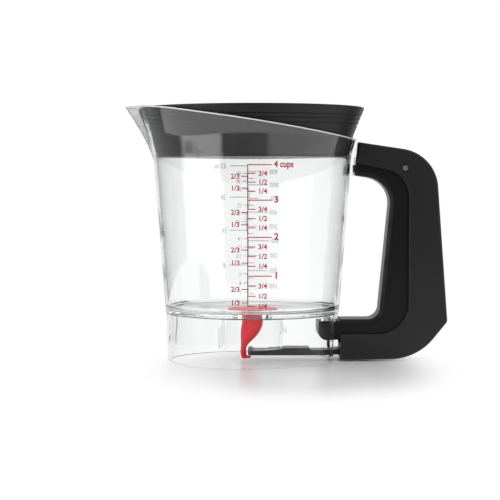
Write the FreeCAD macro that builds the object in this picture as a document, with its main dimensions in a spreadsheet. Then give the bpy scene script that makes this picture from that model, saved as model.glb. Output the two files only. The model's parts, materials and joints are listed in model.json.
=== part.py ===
"""Gravy fat separator: a clear cup on an open skirt, a lift-out strainer, a silicone
drain stopper, and a squeeze handle whose lever trips the stopper from below.

Axes: the origin is on the cup's axis in the plane that the skirt stands on, +Z is up,
+X runs through the handle and -X through the spout. Lengths are in millimetres.
"""
import FreeCAD, Part
import math
import os
import re
import Sketcher

V = FreeCAD.Vector
NEAR = 0.01

SIZES = {
    # how far a feature runs into its neighbour, and how far a cut runs past a face
    "run_in": 0.5,
    "cut_past": 1.0,
    # cup
    "cup_foot_radius": 53.7,
    "cup_waist_step": 7.2,
    "cup_waist_height": 124.6,
    "cup_waist_round": 30.0,
    "cup_band_step": 3.5,
    "cup_band_rise": 13.8,
    "cup_flare_round": 24.0,
    "cup_flare_step": 7.9,
    "cup_flare_rise": 19.5,
    "cup_wall": 1.8,
    "cup_foot_chamfer": 0.8,
    "floor_under_height": 29.0,
    "floor_thickness": 2.9,
    "floor_dish": 1.3,
    "floor_corner": 3.0,
    # slanted rim of the cup: an arc through three stations along X
    "rim_handle_margin": 1.7,
    "rim_handle_drop": 25.4,
    "rim_middle_drop": 6.5,
    "rim_spout_margin": 4.4,
    "rim_spout_drop": 2.5,
    # spout
    "spout_root_drop": 9.1,
    "spout_low_rise": 5.7,
    "spout_low_stand": 1.5,
    "spout_middle_rise": 4.7,
    "spout_middle_stand": 4.2,
    "spout_high_stand": 7.7,
    "spout_tip_radius": 7.0,
    "spout_root_sink": 0.8,
    "spout_inner_depth": 16.0,
    "spout_half_angle": 33.0,
    "spout_nose_angle": 26.0,
    # drain
    "drain_radius": 8.3,
    "drain_seat_radius": 18.0,
    # bracket on the cup for the top of the handle
    "bracket_under": 20.7,
    "bracket_over": 3.0,
    "bracket_stand": 1.4,
    "bracket_lean": 2.25,
    "bracket_sink": 1.4,
    "bracket_half_width": 9.0,
    # strainer ledges
    "ledge_width": 2.5,
    "ledge_edge": 1.2,
    "ledge_drop": 4.9,
    "ledge_half_width": 4.0,
    # skirt
    "skirt_top_step": 0.5,
    "skirt_top_wall": 3.0,
    "skirt_foot_step": 0.7,
    "skirt_foot_wall": 1.4,
    "skirt_foot_round": 0.6,
    "tongue_step": 1.1,
    "tongue_width": 1.0,
    "tongue_height": 0.8,
    "weld_gap": 0.15,
    "gate_half_width": 15.0,
    "gate_drop": 3.0,
    "gate_corner": 2.5,
    "cheek_wall": 1.5,
    "cheek_depth": 4.5,
    "well_radius": 21.2,
    "well_wall": 1.8,
    "well_foot": 8.0,
    "well_slot_half_width": 10.5,
    "well_slot_height": 16.8,
    "fin_offset": 14.0,
    "fin_wall": 1.5,
    "fin_end_gap": 2.2,
    # strainer
    "strainer_gap": 0.35,
    "strainer_wall": 2.0,
    "strainer_foot_rise": 0.3,
    "strainer_foot_bevel": 1.0,
    "strainer_floor": 2.0,
    "strainer_floor_dome": 1.7,
    "strainer_floor_corner": 2.0,
    "strainer_crease_round": 3.0,
    "strainer_rim_drop": 2.7,
    "strainer_rim_edge": 0.8,
    "strainer_line_drop": 5.5,
    "strainer_line_pitch": 2.55,
    "strainer_line_width": 0.8,
    "strainer_line_depth": 0.7,
    "strainer_bead_rise": 2.2,
    "strainer_bead_depth": 0.4,
    "hole_radius": 2.1,
    "hole_ring_pitch": 11.0,
    # stopper
    "stopper_flange_radius": 15.6,
    "stopper_flange_edge": 0.9,
    "stopper_flange_round": 0.3,
    "stopper_flange_crown": 2.0,
    "stopper_gap": 0.3,
    "stopper_neck_radius": 6.2,
    "stopper_neck_drop": 1.0,
    "plug_belly_drop": 5.0,
    "plug_belly_offset": 0.2,
    "plug_belly_radius": 6.5,
    "plug_waist_drop": 10.9,
    "plug_waist_offset": -1.2,
    "plug_waist_radius": 6.0,
    "plug_wrist_drop": 15.8,
    "plug_wrist_offset": -3.2,
    "plug_wrist_radius": 4.1,
    "tail_gap": 0.8,
    "tail_radius": 1.8,
    "tail_swell": 0.1,
    "tail_head_room": 0.6,
    "tail_root": 0.5,
    "tail_tip_height": 0.8,
    "tail_tip_offset": 0.4,
    "hook_reach": 4.4,
    "hook_height": 1.7,
    "hook_gap": 0.8,
    # handle lever
    "lever_half_depth": 14.0,
    "lever_wall": 2.0,
    "lever_back_wall": 2.6,
    "lever_floor_wall": 2.1,
    "lever_edge_round": 1.4,
    "seam_edge_round": 0.8,
    "lever_foot": 1.15,
    "lever_low_gap": 0.6,
    "lever_heel_stand": 5.2,
    "lever_heel_round": 34.0,
    "lever_corner_round": 3.0,
    "lever_crown_round": 25.0,
    "lever_back_stand": 23.9,
    "lever_back_height": 24.2,
    "lever_shoulder_step": 6.1,
    "lever_shoulder_drop": 27.0,
    "lever_crown_drop": 7.1,
    "lever_top_rise": 9.4,
    "lever_end_gap": 0.5,
    "lever_end_wall": 2.2,
    "lever_end_wall_height": 10.0,
    "channel_mouth": 3.0,
    "channel_room": 1.2,
    "channel_past_seam": 6.0,
    # seam between the lever and the fixed grip
    "seam_low_height": 16.7,
    "seam_stand": 34.6,
    "seam_corner_drop": 6.4,
    "seam_low_round": 19.0,
    "seam_high_round": 17.5,
    "seam_high_drop": 13.0,
    # fixed grip
    "grip_gap": 0.3,
    "grip_web": 3.2,
    "grip_rib": 2.0,
    "grip_rib_first": 43.0,
    "grip_rib_pitch": 32.0,
    "grip_rib_inset": 1.5,
    "grip_side_wall": 2.4,
    "hollow_low": 35.1,
    "hollow_drop": 31.9,
    "grip_edge_round": 3.2,
    "nub_inset": 1.8,
    "nub_gap": 0.1,
    "nub_low": 13.0,
    "nub_round": 5.5,
    "arm_step": 0.9,
    "hand_lean": 5.9,
    "hand_wall": 11.3,
    "hand_straight_low": 35.1,
    "hand_straight_drop": 37.8,
    "hand_corner_drop": 23.9,
    "hand_high_drop": 20.3,
    "hand_low_round": 7.2,
    "hand_high_round": 16.0,
    "grip_overlap": 4.0,
    "grip_top_drop": 9.0,
    "grip_top_round": 8.0,
    "tab_depth": 0.7,
    "tab_drop": 18.2,
    "tab_height": 4.2,
    "tab_half_width": 5.0,
    "tab_gap": 0.1,
    # pivot
    "pivot_inset": 2.3,
    "pivot_drop": 15.8,
    "pin_radius": 2.0,
    "pin_running_gap": 0.05,
    "pin_end_chamfer": 0.4,
    "pin_recess": 0.1,
    # handle screws, up through the nub into the boss under the floor
    "boss_inset": 4.2,
    "boss_width": 7.0,
    "boss_half_width": 10.5,
    "boss_height": 4.2,
    "screw_inset": 3.4,
    "screw_offset": 5.6,
    "screw_radius": 1.5,
    "screw_hole_gap": 0.15,
    "screw_head_radius": 2.9,
    "screw_head_height": 1.2,
    "screw_head_gap": 0.2,
    "screw_bury": 3.2,
    "screw_end_gap": 0.3,
    "screw_pocket_depth": 6.0,
    "socket_radius": 1.3,
    "socket_depth": 0.8,
    # trip arm
    "arm_half_width": 8.0,
    "arm_tip_reach": -2.8,
    "arm_low": 3.5,
    "arm_thickness": 3.2,
    "arm_lip": 1.1,
    "arm_lip_length": 2.2,
    "arm_lip_slope": 1.4,
    "arm_edge": 0.6,
    "arm_step_start": 10.2,
    "arm_step_rise": 0.5,
    "arm_ramp_start": 15.0,
    "arm_ramp_end": 18.4,
    "arm_raised_rise": 1.3,
    "arm_raised_end": 35.6,
    "arm_slot_gap": 0.15,
    "arm_screw_inset": 8.2,
    "arm_screw_pitch": 13.0,
    "arm_end_margin": 7.0,
    "arm_screw_sink": 1.2,
    "arm_screw_bury": 2.8,
    "arm_tip_round": 3.0,
    # return spring
    "spring_height": 58.8,
    "spring_radius": 4.2,
    "spring_wire": 0.5,
    "spring_half_turns": 13,
    "spring_seat_gap": 0.45,
    "spring_stub_radius": 3.2,
    "spring_stub_length": 4.0,
}

# Sizes that follow from the others, so that neighbouring pieces move together.
FOLLOWING = {
    "cup_waist_radius": "cup_foot_radius + cup_waist_step",
    "cup_flare_radius": "cup_waist_radius + cup_band_step",
    "cup_lip_radius": "cup_flare_radius + cup_flare_step",
    "cup_flare_height": "cup_waist_height + cup_band_rise",
    "cup_lip_height": "cup_flare_height + cup_flare_rise",
    "band_lean": "cup_band_step / cup_band_rise",
    "flare_lean": "cup_flare_step / cup_flare_rise",
    "spout_high_reach": "cup_lip_radius + spout_high_stand",
    "rim_handle_reach": "cup_lip_radius + rim_handle_margin",
    "rim_spout_reach": "spout_high_reach + rim_spout_margin",
    "lever_top_height": "cup_waist_height + lever_top_rise",
    "bracket_low": "lever_top_height - bracket_under",
    "bracket_high": "lever_top_height + bracket_over",
    "bracket_reach": "cup_waist_radius + bracket_stand",
    "skirt_top_radius": "cup_foot_radius - skirt_top_step",
    "skirt_foot_radius": "skirt_top_radius - skirt_foot_step",
    "skirt_foot_inner": "skirt_foot_radius - skirt_foot_wall",
    "tongue_radius": "skirt_top_radius - tongue_step",
    "gate_height": "floor_under_height - gate_drop",
    "strainer_foot_height": "cup_waist_height + strainer_foot_rise",
    "strainer_rim_height": "cup_lip_height - strainer_rim_drop",
    "ledge_reach": "cup_waist_radius - cup_wall - ledge_width",
    "ledge_low": "strainer_foot_height - ledge_drop",
    "plug_belly_height": "floor_under_height - plug_belly_drop",
    "plug_waist_height": "floor_under_height - plug_waist_drop",
    "plug_wrist_height": "floor_under_height - plug_wrist_drop",
    "lever_low_reach": "skirt_top_radius + lever_low_gap",
    "seam_reach": "cup_waist_radius + seam_stand",
    "lever_heel_reach": "seam_reach + lever_heel_stand",
    "lever_back_reach": "seam_reach + lever_back_stand",
    "lever_shoulder_reach": "lever_back_reach - lever_shoulder_step",
    "lever_shoulder_height": "lever_top_height - lever_shoulder_drop",
    "lever_crown_height": "lever_top_height - lever_crown_drop",
    "seam_high_height": "lever_top_height - seam_high_drop",
    "seam_corner_height": "seam_high_height - seam_corner_drop",
    "hollow_high": "lever_top_height - hollow_drop",
    "hand_reach": "seam_reach - hand_wall",
    "hand_low_reach": "hand_reach - hand_lean",
    "hand_straight_high": "lever_top_height - hand_straight_drop",
    "hand_corner_height": "lever_top_height - hand_corner_drop",
    "hand_high_height": "lever_top_height - hand_high_drop",
    "grip_top_height": "lever_top_height - grip_top_drop",
    "tab_reach": "bracket_reach - tab_depth",
    "tab_low": "lever_top_height - tab_drop",
    "tab_high": "tab_low + tab_height",
    "pivot_reach": "seam_reach - pivot_inset",
    "pivot_height": "lever_top_height - pivot_drop",
    "boss_reach": "skirt_top_radius - boss_inset",
    "boss_inner_reach": "boss_reach - boss_width",
    "boss_low": "floor_under_height - boss_height",
    "screw_reach": "boss_reach - screw_inset",
    "nub_reach": "boss_inner_reach - nub_inset",
    "nub_high": "boss_low - nub_gap",
    "arm_high": "nub_high + arm_step",
    "arm_top": "arm_low + arm_thickness",
    "arm_raised_height": "arm_top + arm_raised_rise",
    "arm_screw_first": "lever_low_reach + arm_screw_inset",
    "arm_root_reach": "arm_screw_first + arm_screw_pitch + arm_end_margin",
    "lever_floor": "lever_foot + lever_floor_wall",
}


def make_sheet(doc):
    sheet = doc.addObject("Spreadsheet::Sheet", "Sizes")
    cells = [(name, str(size)) for name, size in SIZES.items()]
    cells += [(name, "=" + text) for name, text in FOLLOWING.items()]
    for row, (name, content) in enumerate(cells, start=1):
        sheet.set(f"A{row}", name.replace("_", " "))
        sheet.setAlias(f"B{row}", name)
        sheet.set(f"B{row}", content)
    doc.recompute()
    return sheet


doc = FreeCAD.newDocument("FatSeparator")
sheet = make_sheet(doc)


def bound(text):
    """Write an expression on named sizes in the form that the document reads."""
    def named(word):
        known = word[0] in SIZES or word[0] in FOLLOWING
        return "Sizes." + word[0] if known else word[0]
    return re.sub(r"[a-z_]+", named, str(text))


def value(text):
    """The number that an expression on named sizes comes to."""
    return float(sheet.evalExpression(bound(text)))


def origin_plane(body, role):
    return next(item for item in body.Origin.OriginFeatures if item.Role == role)


def new_body(name):
    body = doc.addObject("PartDesign::Body", name)
    body.Label = name
    return body


def new_sketch(body, name, plane, lift="0"):
    sketch = body.newObject("Sketcher::SketchObject", name)
    sketch.AttachmentSupport = [(origin_plane(body, plane), "")]
    sketch.MapMode = "FlatFace"
    sketch.setExpression("AttachmentOffset.Base.z", bound(lift))
    return sketch


def pin_point(sketch, geometry, place, point):
    """Hold one point of a sketch at two expressions."""
    for kind, text in zip(("DistanceX", "DistanceY"), point):
        row = sketch.addConstraint(Sketcher.Constraint(kind, -1, 1, geometry, place, value(text)))
        sketch.setExpression(f"Constraints[{row}]", bound(text))


def hold_radius(sketch, geometry, text):
    row = sketch.addConstraint(Sketcher.Constraint("Radius", geometry, value(text)))
    sketch.setExpression(f"Constraints[{row}]", bound(text))


def rounded(before, corner, after, radius):
    """Where a round of this radius touches both sides of a corner, and its middle."""
    back = (before - corner).normalize()
    ahead = (after - corner).normalize()
    half = back.getAngle(ahead) / 2
    reach = radius / math.tan(half)
    middle = corner + (back + ahead).normalize() * (radius / math.sin(half) - radius)
    return corner + back * reach, middle, corner + ahead * reach


def draw(sketch, outline):
    """Close an outline. A corner is (x, y), or (x, y, radius) where it is rounded;
    ("arc", x, y) bows the side between its neighbours through that point."""
    corners = [item for item in outline if item[0] != "arc"]
    bows = {}
    count = -1
    for item in outline:
        if item[0] == "arc":
            bows[count] = item[1:]
        else:
            count += 1
    spots = [V(value(corner[0]), value(corner[1]), 0) for corner in corners]
    starts, ends, rounds = list(spots), list(spots), {}
    for index, corner in enumerate(corners):
        if len(corner) == 3:
            after = spots[(index + 1) % len(spots)]
            touch = rounded(spots[index - 1], spots[index], after, value(corner[2]))
            ends[index], middle, starts[index] = touch
            rounds[index] = Part.Arc(ends[index], middle, starts[index])
    sides = []
    for index, start in enumerate(starts):
        end = ends[(index + 1) % len(spots)]
        if index in bows:
            middle = V(value(bows[index][0]), value(bows[index][1]), 0)
            sides.append(sketch.addGeometry(Part.Arc(start, middle, end), False))
        else:
            sides.append(sketch.addGeometry(Part.LineSegment(start, end), False))
    arcs = {index: sketch.addGeometry(arc, False) for index, arc in rounds.items()}

    def place(geometry, spot):
        """1 or 2: which end of a side or an arc lies at a spot."""
        return 1 if (sketch.getPoint(geometry, 1) - spot).Length < 1e-6 else 2

    for index, corner in enumerate(corners):
        coming, going = sides[index - 1], sides[index]
        if index in arcs:
            arc = arcs[index]
            for side, spot in ((coming, ends[index]), (going, starts[index])):
                ties = (side, place(side, spot), arc, place(arc, spot))
                sketch.addConstraint(Sketcher.Constraint("Tangent", *ties))
            hold_radius(sketch, arc, corner[2])
            mark = sketch.addGeometry(Part.Point(spots[index]), True)
            pin_point(sketch, mark, 1, corner[:2])
            for side in (coming, going):
                sketch.addConstraint(Sketcher.Constraint("PointOnObject", mark, 1, side))
        else:
            ties = (coming, place(coming, ends[index]), going, place(going, starts[index]))
            sketch.addConstraint(Sketcher.Constraint("Coincident", *ties))
            pin_point(sketch, going, place(going, starts[index]), corner)
    for index, bow in bows.items():
        mark = sketch.addGeometry(Part.Point(V(value(bow[0]), value(bow[1]), 0)), True)
        pin_point(sketch, mark, 1, bow)
        sketch.addConstraint(Sketcher.Constraint("PointOnObject", mark, 1, sides[index]))
    return sketch


LEAST_CHANGE = 0.001


def finish(body, feature, gain=0):
    """Make a feature the body's tip. With a gain of 1 or -1 it has to add or take away."""
    body.Tip = feature
    doc.recompute()
    before = feature.BaseFeature
    if gain and before and (feature.Shape.Volume - before.Shape.Volume) * gain < LEAST_CHANGE:
        raise RuntimeError(f"{feature.Label} of {body.Label} changes nothing")
    return feature


def revolve(body, name, outline, cut=False):
    """Turn an outline in the XZ plane about the Z axis."""
    sketch = draw(new_sketch(body, name + "_profile", "XZ_Plane"), outline)
    feature = body.newObject("PartDesign::Groove" if cut else "PartDesign::Revolution", name)
    feature.Profile = sketch
    feature.ReferenceAxis = (sketch, ["V_Axis"])
    feature.Angle = 360
    return finish(body, feature, -1 if cut else 1)


def pad(body, name, plane, outline, length, lift="0", middle=False, cut=False, back=False):
    """Raise or cut an outline straight, to one side of its plane or evenly to both."""
    sketch = new_sketch(body, name + "_outline", plane, lift)
    if outline[0] == "circle":
        circle(sketch, *outline[1:])
    else:
        draw(sketch, outline)
    feature = body.newObject("PartDesign::Pocket" if cut else "PartDesign::Pad", name)
    feature.Profile = sketch
    feature.SideType = "Symmetric" if middle else "One side"
    feature.setExpression("Length", bound(length))
    feature.Reversed = back
    return finish(body, feature, -1 if cut else 1)


def circle(sketch, x, y, radius):
    ring = sketch.addGeometry(Part.Circle(V(value(x), value(y), 0), V(0, 0, 1), value(radius)), False)
    pin_point(sketch, ring, 3, (x, y))
    hold_radius(sketch, ring, radius)


def loft(body, name, sections, cut=False):
    """Join outlines at several heights, each (height, outline)."""
    sketches = []
    for number, (height, outline) in enumerate(sections, start=1):
        sketch = new_sketch(body, f"{name}_section_{number}", "XY_Plane", height)
        sketches.append(draw(sketch, outline))
    feature = body.newObject("PartDesign::SubtractiveLoft" if cut else "PartDesign::AdditiveLoft", name)
    feature.Profile = sketches[0]
    feature.Sections = sketches[1:]
    return finish(body, feature, -1 if cut else 1)


def polar(body, name, feature, count):
    pattern = body.newObject("PartDesign::PolarPattern", name)
    pattern.Originals = [feature]
    pattern.Axis = (origin_plane(body, "Z_Axis"), [""])
    pattern.Angle = 360
    pattern.Occurrences = count
    return finish(body, pattern)


def round_edges(body, name, pick, radius, chamfer=False):
    """Round or bevel the edges of the current tip that pick() chooses."""
    tip = body.Tip
    names = [f"Edge{number}" for number, edge in enumerate(tip.Shape.Edges, start=1) if pick(edge)]
    feature = body.newObject("PartDesign::Chamfer" if chamfer else "PartDesign::Fillet", name)
    feature.Base = (tip, names)
    feature.setExpression("Size" if chamfer else "Radius", bound(radius))
    return finish(body, feature)


def box(low_x, high_x, low_y, high_y):
    return [(low_x, low_y), (high_x, low_y), (high_x, high_y), (low_x, high_y)]


# ---------------------------------------------------------------- cup

def spout_section(height, wall, reach, inset):
    """A blunt beak in plan: two flanks that leave the round wall and meet in a small nose."""
    nose = f"(spout_tip_radius - {inset})"
    middle = f"-({reach} - spout_tip_radius)"
    root = f"({wall} - {inset} - spout_root_sink)"
    inner = "-(cup_waist_radius - cup_wall - spout_inner_depth)"
    width = f"{root} * sin(spout_half_angle)"
    side = f"-{root} * cos(spout_half_angle)"
    return (height, [
        (inner, width),
        (inner, f"-{width}"),
        (side, f"-{width}"),
        (f"{middle} - {nose} * cos(spout_nose_angle)", f"-{nose} * sin(spout_nose_angle)"),
        ("arc", f"{middle} - {nose}", "0"),
        (f"{middle} - {nose} * cos(spout_nose_angle)", f"{nose} * sin(spout_nose_angle)"),
        (side, width),
    ])


def spout(body, name, inset, cut):
    taper = "cup_waist_step / (cup_waist_height - floor_under_height)"
    root_wall = f"cup_waist_radius - {taper} * spout_root_drop"
    low_wall = "cup_waist_radius + band_lean * spout_low_rise"
    middle_wall = "cup_flare_radius + flare_lean * spout_middle_rise"
    return loft(body, name, [
        spout_section("cup_waist_height - spout_root_drop", root_wall,
                      f"{root_wall} - spout_root_sink", inset),
        spout_section("cup_waist_height + spout_low_rise", low_wall, f"{low_wall} + spout_low_stand", inset),
        spout_section("cup_flare_height + spout_middle_rise", middle_wall,
                      f"{middle_wall} + spout_middle_stand", inset),
        spout_section("cup_lip_height", "cup_lip_radius", "spout_high_reach", inset),
    ], cut)


def make_cup():
    body = new_body("cup")
    revolve(body, "outside", [
        ("0", "floor_under_height"),
        ("cup_foot_radius - cup_foot_chamfer", "floor_under_height"),
        ("cup_foot_radius", "floor_under_height + cup_foot_chamfer"),
        ("cup_waist_radius", "cup_waist_height", "cup_waist_round"),
        ("cup_flare_radius", "cup_flare_height", "cup_flare_round"),
        ("cup_lip_radius", "cup_lip_height"),
        ("0", "cup_lip_height"),
    ])
    spout(body, "spout_outside", "0", cut=False)
    floor = "floor_under_height + floor_thickness"
    revolve(body, "inside", [
        ("0", f"{floor} - floor_dish"),
        ("drain_seat_radius", f"{floor} - floor_dish"),
        ("cup_foot_radius - cup_wall - floor_corner", floor),
        ("arc", "cup_foot_radius - cup_wall - floor_corner * 0.25", f"{floor} + floor_corner * 0.32"),
        ("cup_foot_radius - cup_wall + 0.1", f"{floor} + floor_corner"),
        ("cup_waist_radius - cup_wall", "cup_waist_height", "cup_waist_round"),
        ("cup_flare_radius - cup_wall", "cup_flare_height", "cup_flare_round"),
        ("cup_lip_radius - cup_wall", "cup_lip_height"),
        ("0", "cup_lip_height"),
    ], cut=True)
    spout(body, "spout_inside", "cup_wall", cut=True)
    pad(body, "rim", "XZ_Plane", [
        ("rim_handle_reach", "cup_lip_height - rim_handle_drop"),
        ("arc", "0", "cup_lip_height - rim_middle_drop"),
        ("-rim_spout_reach", "cup_lip_height - rim_spout_drop"),
        ("-rim_spout_reach", "cup_lip_height + cup_flare_rise"),
        ("rim_handle_reach", "cup_lip_height + cup_flare_rise"),
    ], "cup_lip_radius * 3", middle=True, cut=True)
    wall_beside_top = "cup_waist_radius + band_lean * (bracket_high - cup_waist_height)"
    pad(body, "bracket", "XZ_Plane", [
        ("cup_waist_radius - bracket_sink * 1.7", "bracket_low"),
        ("bracket_reach", "bracket_low"),
        ("bracket_reach + bracket_lean", "bracket_high"),
        (f"min({wall_beside_top}; bracket_reach + bracket_lean) - bracket_sink", "bracket_high"),
        ("cup_waist_radius - bracket_sink", "cup_waist_height"),
    ], "bracket_half_width * 2", middle=True)
    pad(body, "tab_pocket", "XZ_Plane", box(
        "tab_reach - tab_gap", "bracket_reach + bracket_lean + cut_past",
        "tab_low - tab_gap", "tab_high + tab_gap"),
        "(tab_half_width + tab_gap) * 2", middle=True, cut=True)
    ledge = pad(body, "ledge", "XZ_Plane", [
        ("ledge_reach", "strainer_foot_height - strainer_gap"),
        ("ledge_reach", "strainer_foot_height - strainer_gap - ledge_edge"),
        ("cup_waist_radius - cup_wall * 0.6 - 0.6", "ledge_low"),
        ("cup_waist_radius - cup_wall * 0.6", "strainer_foot_height - strainer_gap"),
    ], "ledge_half_width * 2", middle=True)
    polar(body, "ledges", ledge, 3)
    pad(body, "drain", "XY_Plane", ("circle", "0", "0", "drain_radius"),
        "floor_thickness * 3", lift="floor_under_height - floor_thickness", cut=True, back=True)
    revolve(body, "weld_groove", box(
        "tongue_radius - tongue_width - weld_gap", "tongue_radius + weld_gap",
        "floor_under_height - cut_past", "floor_under_height + tongue_height + weld_gap"), cut=True)
    pad(body, "screw_boss", "XY_Plane", box(
        "boss_inner_reach", "boss_reach", "-boss_half_width", "boss_half_width"),
        "boss_height + run_in", lift="boss_low")
    for side in (-1, 1):
        pad(body, f"screw_hole_{side + 2}", "XY_Plane",
            ("circle", "screw_reach", f"{side} * screw_offset", "screw_radius"),
            "screw_bury + screw_end_gap", lift="boss_low", cut=True, back=True)
    return body


# ---------------------------------------------------------------- skirt

def make_skirt():
    body = new_body("drip_skirt")
    top = "floor_under_height"
    revolve(body, "ring", [
        ("skirt_foot_radius - skirt_foot_wall", "0"),
        ("skirt_foot_radius - skirt_foot_round", "0"),
        ("arc", "skirt_foot_radius - skirt_foot_round * 0.29", "skirt_foot_round * 0.29"),
        ("skirt_foot_radius", "skirt_foot_round"),
        ("skirt_top_radius", top),
        ("tongue_radius", top),
        ("tongue_radius", f"{top} + tongue_height"),
        ("tongue_radius - tongue_width", f"{top} + tongue_height"),
        ("tongue_radius - tongue_width", top),
        ("skirt_top_radius - skirt_top_wall", top),
    ])
    pad(body, "gate", "YZ_Plane", [
        ("-gate_half_width", "-cut_past"),
        ("gate_half_width", "-cut_past"),
        ("gate_half_width", "gate_height", "gate_corner"),
        ("-gate_half_width", "gate_height", "gate_corner"),
    ], "skirt_top_radius", lift="boss_inner_reach", cut=True, back=True)
    for side in (-1, 1):
        near = "gate_half_width" if side > 0 else "-gate_half_width - cheek_wall"
        far = "gate_half_width + cheek_wall" if side > 0 else "-gate_half_width"
        pad(body, f"cheek_{side + 2}", "XY_Plane", box(
            "skirt_foot_inner - cheek_depth", "skirt_foot_inner - cheek_wall * 0.8", near, far),
            "gate_height - skirt_foot_round", lift="skirt_foot_round")
    pad(body, "well_outside", "XY_Plane", ("circle", "0", "0", "well_radius"),
        "floor_under_height - well_foot", lift="well_foot")
    for side in (-1, 1):
        low = f"{side} * fin_offset - fin_wall / 2"
        high = f"{side} * fin_offset + fin_wall / 2"
        pad(body, f"fin_{side + 2}", "XY_Plane", box(
            "-(skirt_foot_inner - fin_end_gap)", "-well_radius * 0.6", low, high),
            "floor_under_height - well_foot", lift="well_foot")
    pad(body, "well_inside", "XY_Plane", ("circle", "0", "0", "well_radius - well_wall"),
        "floor_under_height - well_foot + cut_past * 2", lift="well_foot - cut_past", cut=True, back=True)
    pad(body, "well_slot", "XZ_Plane", [
        ("well_radius * 0.5", "well_foot - cut_past"),
        ("well_radius + cut_past", "well_foot - cut_past"),
        ("well_radius + cut_past", "well_slot_height"),
        ("well_radius * 0.5", "well_slot_height"),
    ], "well_slot_half_width * 2", middle=True, cut=True)
    return body


# ---------------------------------------------------------------- strainer

def beside_cup(radius, inset="0"):
    """A radius just inside the cup's wall, for one on the outside of that wall."""
    return f"{radius} - cup_wall - strainer_gap - {inset}"


def make_strainer():
    """Bowl that follows the cup's flare a small gap inside it, with a domed drilled floor."""
    body = new_body("strainer")
    foot_step = "band_lean * (strainer_foot_rise + strainer_foot_bevel)"
    foot_radius = beside_cup(f"cup_waist_radius + {foot_step}")
    revolve(body, "bowl_outside", [
        ("0", "strainer_foot_height - strainer_floor_dome"),
        ("arc", f"({foot_radius}) / 2", "strainer_foot_height - strainer_floor_dome * 0.75"),
        (f"{foot_radius} - strainer_foot_bevel", "strainer_foot_height"),
        (foot_radius, "strainer_foot_height + strainer_foot_bevel"),
        (beside_cup("cup_flare_radius"), "cup_flare_height", "strainer_crease_round"),
        (beside_cup("cup_lip_radius"), "cup_lip_height"),
        ("0", "cup_lip_height"),
    ])
    floor = "strainer_foot_height + strainer_floor"
    corner = f"{foot_radius} - strainer_wall - strainer_floor_corner"
    revolve(body, "bowl_inside", [
        ("0", f"{floor} - strainer_floor_dome"),
        ("arc", f"({corner}) / 2", f"{floor} - strainer_floor_dome * 0.75"),
        (corner, floor),
        ("arc", f"{foot_radius} - strainer_wall - strainer_floor_corner * 0.3",
         f"{floor} + strainer_floor_corner * 0.3"),
        (f"{foot_radius} - strainer_wall + band_lean * (strainer_floor + strainer_floor_corner)",
         f"{floor} + strainer_floor_corner"),
        (beside_cup("cup_flare_radius", "strainer_wall"), "cup_flare_height", "strainer_crease_round"),
        (beside_cup("cup_lip_radius", "strainer_wall"), "cup_lip_height"),
        ("0", "cup_lip_height"),
    ], cut=True)
    pad(body, "rim_cut", "XY_Plane", ("circle", "0", "0", "cup_lip_radius"),
        "cup_flare_rise", lift="strainer_rim_height", cut=True, back=True)
    round_edges(body, "rim_round", lambda edge: edge.BoundBox.ZMin > value("strainer_rim_height") - NEAR,
                "strainer_rim_edge")
    for number in range(3):
        height = f"strainer_rim_height - strainer_line_drop - {number} * strainer_line_pitch"
        wall = beside_cup(f"cup_flare_radius + flare_lean * ({height} - cup_flare_height)")
        revolve(body, f"line_{number + 1}", box(
            f"{wall} - strainer_line_depth", "cup_lip_radius",
            f"{height} - strainer_line_width / 2", f"{height} + strainer_line_width / 2"), cut=True)
    bead = "strainer_foot_height + strainer_bead_rise"
    wall = beside_cup(f"cup_waist_radius + band_lean * ({bead} - cup_waist_height)")
    revolve(body, "foot_line", box(
        f"{wall} - strainer_bead_depth", "cup_lip_radius", bead, f"{bead} + strainer_line_width"), cut=True)
    depth = "strainer_floor + strainer_floor_dome + cut_past * 2"
    start = "strainer_foot_height - strainer_floor_dome - cut_past"
    for ring in range(1, 5):
        hole = pad(body, f"hole_ring_{ring}", "XY_Plane",
                   ("circle", f"{ring} * hole_ring_pitch", "0", "hole_radius"),
                   depth, lift=start, cut=True, back=True)
        polar(body, f"holes_{ring}", hole, ring * 6)
    pad(body, "hole_middle", "XY_Plane", ("circle", "0", "0", "hole_radius"),
        depth, lift=start, cut=True, back=True)
    return body


# ---------------------------------------------------------------- stopper

def round_section(height, centre, radius):
    return (height, [
        (centre, f"-({radius})"),
        ("arc", f"{centre} + {radius}", "0"),
        (centre, radius),
        ("arc", f"{centre} - ({radius})", "0"),
    ])


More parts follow.
